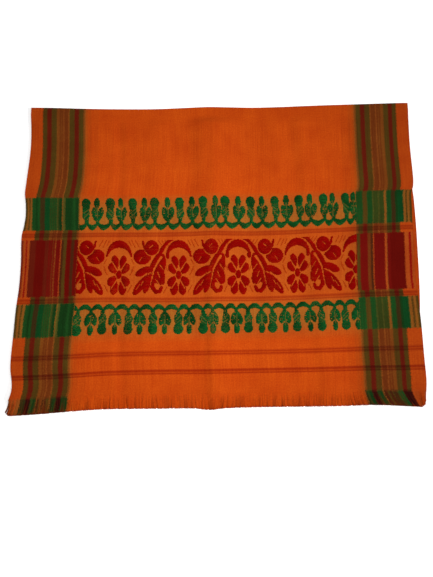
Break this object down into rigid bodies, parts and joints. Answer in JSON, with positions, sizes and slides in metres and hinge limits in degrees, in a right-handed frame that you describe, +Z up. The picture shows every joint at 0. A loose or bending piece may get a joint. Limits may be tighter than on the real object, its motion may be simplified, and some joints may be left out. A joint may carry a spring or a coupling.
{
  "type": "gamusa, folded handwoven cotton cloth",
  "caption": "Orange handwoven cotton gamusa folded in thirds and laid flat, with striped selvedge borders, a red flower band between green curl bands, and a warp fringe.",
  "frame": {"origin": "on the surface the cloth lies on, under the middle of its box", "axes": "+X across the cloth to its right selvedge, +Y from the fringed end to the rear fold, +Z up"},
  "size_m": [0.7162, 0.5644, 0.0063],
  "materials": {
    "cloth_face": "matt handwoven cotton, orange with green and red extra-weft bands",
    "cloth_under": "matt handwoven cotton, plain orange with striped selvedge borders",
    "fringe_border": "loose cotton warp, dark green and dark red",
    "fringe_field": "loose cotton warp, orange"
  },
  "bodies": {
    "root": {"face_panel": "cloth_face", "under_layers": "cloth_under", "fringe_left_border": "fringe_border", "fringe_field_left": "fringe_field", "fringe_field_right": "fringe_field", "fringe_right_border": "fringe_border"}
  },
  "joints": []
}
